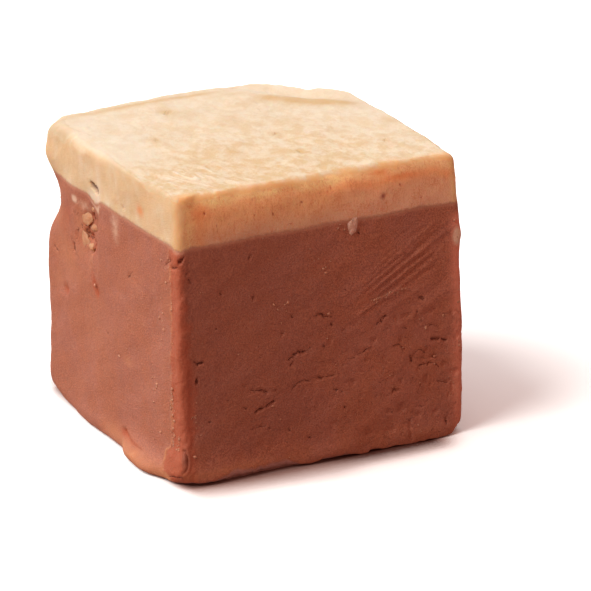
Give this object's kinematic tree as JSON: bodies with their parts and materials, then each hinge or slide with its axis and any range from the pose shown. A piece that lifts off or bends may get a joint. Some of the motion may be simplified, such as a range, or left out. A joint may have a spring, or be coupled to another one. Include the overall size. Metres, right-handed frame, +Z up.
{
  "type": "layered nougat cube",
  "caption": "Knife-cut cube of soft layered nougat: a chocolate nougat base under a thin pale nut-nougat layer, with a blunt back corner and a slightly spread foot.",
  "frame": {"origin": "centre of the underside", "axes": "+Z up through the layers, -Y out of the broad cut face, +X to the right when looking at that face"},
  "size_m": [0.0283, 0.0279, 0.0245],
  "materials": {
    "chocolate_nougat": "soft satin, slightly greasy, with fine cut marks and crumbs",
    "pale_nougat": "soft satin, translucent, finely grained"
  },
  "bodies": {
    "root": {"chocolate_base": "chocolate_nougat", "pale_layer": "pale_nougat"}
  },
  "joints": []
}
